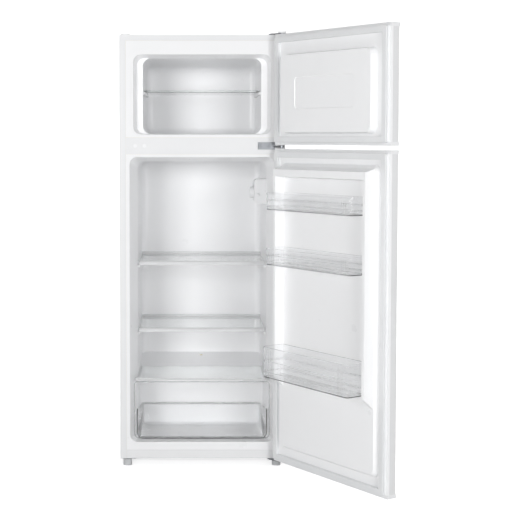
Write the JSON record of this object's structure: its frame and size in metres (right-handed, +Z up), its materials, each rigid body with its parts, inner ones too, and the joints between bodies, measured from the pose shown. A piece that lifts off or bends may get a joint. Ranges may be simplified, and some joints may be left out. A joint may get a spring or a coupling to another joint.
{
  "type": "top freezer refrigerator",
  "caption": "Free-standing white top freezer refrigerator with both doors open, clear door racks, glass shelves and a clear crisper drawer.",
  "frame": {"origin": "on the floor, at the middle of the front left foot's sole", "axes": "+Z up, +X to the right seen from the front, -Y towards the user; the cabinet's front face is 25 mm in front of the origin"},
  "size_m": [0.8434, 0.9856, 1.4395],
  "materials": {
    "white_paint": "gloss",
    "white_liner": "satin",
    "white_plastic": "satin",
    "gasket": "matte",
    "foam": "matte",
    "zinc": "satin",
    "galvanised": "satin",
    "aluminium": "satin",
    "copper": "satin",
    "black_enamel": "gloss",
    "black_plastic": "matte",
    "black_rubber": "matte",
    "grey_plastic": "matte",
    "clear_plastic": "gloss",
    "frosted_plastic": "satin",
    "shelf_glass": "gloss",
    "lamp": "gloss"
  },
  "bodies": {
    "cabinet": {"side_panel_right": "white_paint", "side_panel_left": "white_paint", "top_panel": "white_paint", "back_panel": "white_paint", "compressor_bay_panel": "galvanised", "base_panel": "galvanised", "bottom_rail": "white_paint", "middle_rail": "white_paint", "cabinet_insulation": "foam", "fridge_liner": "white_liner", "freezer_liner": "white_liner", "evaporator_plates": "aluminium", "condenser_tubes": "copper", "top_hinge": "zinc", "middle_hinge": "zinc", "bottom_hinge": "zinc", "foot_bracket": "zinc", "screws_and_bolts": "zinc", "hinge_hole_covers": "white_plastic", "thermostat_housing": "white_plastic", "lamp_cover": "frosted_plastic", "lamp_bulb": "lamp", "compressor_base": "galvanised", "compressor_grommets": "black_rubber", "compressor": "black_enamel", "terminal_cover": "black_plastic", "cord_inlet": "black_rubber", "filter_drier": "copper", "refrigerant_pipes": "copper", "evaporation_tray": "black_plastic", "drain_tube": "white_plastic", "roller_mounts": "zinc"},
    "fridge_door": {"fridge_door_skin": "white_paint", "fridge_door_caps": "white_plastic", "fridge_door_gasket": "gasket", "fridge_door_bushes": "white_plastic", "fridge_door_liner": "white_liner", "fridge_door_insulation": "foam"},
    "freezer_door": {"freezer_door_skin": "white_paint", "freezer_door_caps": "white_plastic", "freezer_door_gasket": "gasket", "freezer_door_bushes": "white_plastic", "freezer_door_liner": "white_liner", "freezer_door_insulation": "foam"},
    "upper_rack": {"upper_rack": "clear_plastic"},
    "middle_rack": {"middle_rack": "clear_plastic"},
    "bottle_rack": {"bottle_rack": "clear_plastic"},
    "upper_shelf": {"upper_shelf_glass": "shelf_glass", "upper_shelf_trims": "clear_plastic"},
    "lower_shelf": {"lower_shelf_glass": "shelf_glass", "lower_shelf_trims": "clear_plastic"},
    "crisper_cover": {"crisper_cover": "shelf_glass"},
    "crisper_drawer": {"crisper_drawer": "clear_plastic"},
    "freezer_shelf": {"freezer_shelf": "shelf_glass"},
    "thermostat_knob": {"thermostat_knob": "white_plastic"},
    "door_switch_button": {"door_switch_button": "white_plastic"},
    "front_left_foot": {"front_left_foot": "grey_plastic"},
    "front_right_foot": {"front_right_foot": "grey_plastic"},
    "rear_left_roller": {"rear_left_roller": "black_plastic"},
    "rear_right_roller": {"rear_right_roller": "black_plastic"}
  },
  "joints": [
    {"name": "fridge_door_hinge", "type": "hinge", "parent": "cabinet", "child": "fridge_door", "pos_m": [0.5085, -0.055, 0.544], "axis": [0, 0, 1], "range_deg": [-124, 0]},
    {"name": "freezer_door_hinge", "type": "hinge", "parent": "cabinet", "child": "freezer_door", "pos_m": [0.5085, -0.055, 1.25], "axis": [0, 0, 1], "range_deg": [-124, 0]},
    {"name": "upper_rack_lift", "type": "slide", "parent": "fridge_door", "child": "upper_rack", "axis": [0, 0, 1], "range_m": [0, 0.025]},
    {"name": "middle_rack_lift", "type": "slide", "parent": "fridge_door", "child": "middle_rack", "axis": [0, 0, 1], "range_m": [0, 0.025]},
    {"name": "bottle_rack_lift", "type": "slide", "parent": "fridge_door", "child": "bottle_rack", "axis": [0, 0, 1], "range_m": [0, 0.025]},
    {"name": "upper_shelf_slide", "type": "slide", "parent": "cabinet", "child": "upper_shelf", "axis": [0, -1, 0], "range_m": [0, 0.15]},
    {"name": "lower_shelf_slide", "type": "slide", "parent": "cabinet", "child": "lower_shelf", "axis": [0, -1, 0], "range_m": [0, 0.15]},
    {"name": "crisper_cover_slide", "type": "slide", "parent": "cabinet", "child": "crisper_cover", "axis": [0, -1, 0], "range_m": [0, 0.1]},
    {"name": "crisper_drawer_slide", "type": "slide", "parent": "cabinet", "child": "crisper_drawer", "axis": [0, -1, 0], "range_m": [0, 0.2]},
    {"name": "freezer_shelf_slide", "type": "slide", "parent": "cabinet", "child": "freezer_shelf", "axis": [0, -1, 0], "range_m": [0, 0.1]},
    {"name": "thermostat_turn", "type": "hinge", "parent": "cabinet", "child": "thermostat_knob", "pos_m": [0.426, 0.105, 0.91], "axis": [-1, 0, 0], "range_deg": [0, 270]},
    {"name": "door_switch_press", "type": "slide", "parent": "cabinet", "child": "door_switch_button", "axis": [0, 1, 0], "range_m": [0, 0.006], "stiffness_N_per_m": 150, "springref_m": -0.004},
    {"name": "front_left_foot_turn", "type": "hinge", "parent": "cabinet", "child": "front_left_foot", "pos_m": [0, 0, 0.01], "axis": [0, 0, 1], "continuous": true},
    {"name": "front_right_foot_turn", "type": "hinge", "parent": "cabinet", "child": "front_right_foot", "pos_m": [0.498, 0, 0.01], "axis": [0, 0, 1], "continuous": true},
    {"name": "rear_left_roller_turn", "type": "hinge", "parent": "cabinet", "child": "rear_left_roller", "pos_m": [0.0085, 0.4495, 0.012], "axis": [1, 0, 0], "continuous": true},
    {"name": "rear_right_roller_turn", "type": "hinge", "parent": "cabinet", "child": "rear_right_roller", "pos_m": [0.4895, 0.4495, 0.012], "axis": [1, 0, 0], "continuous": true}
  ]
}
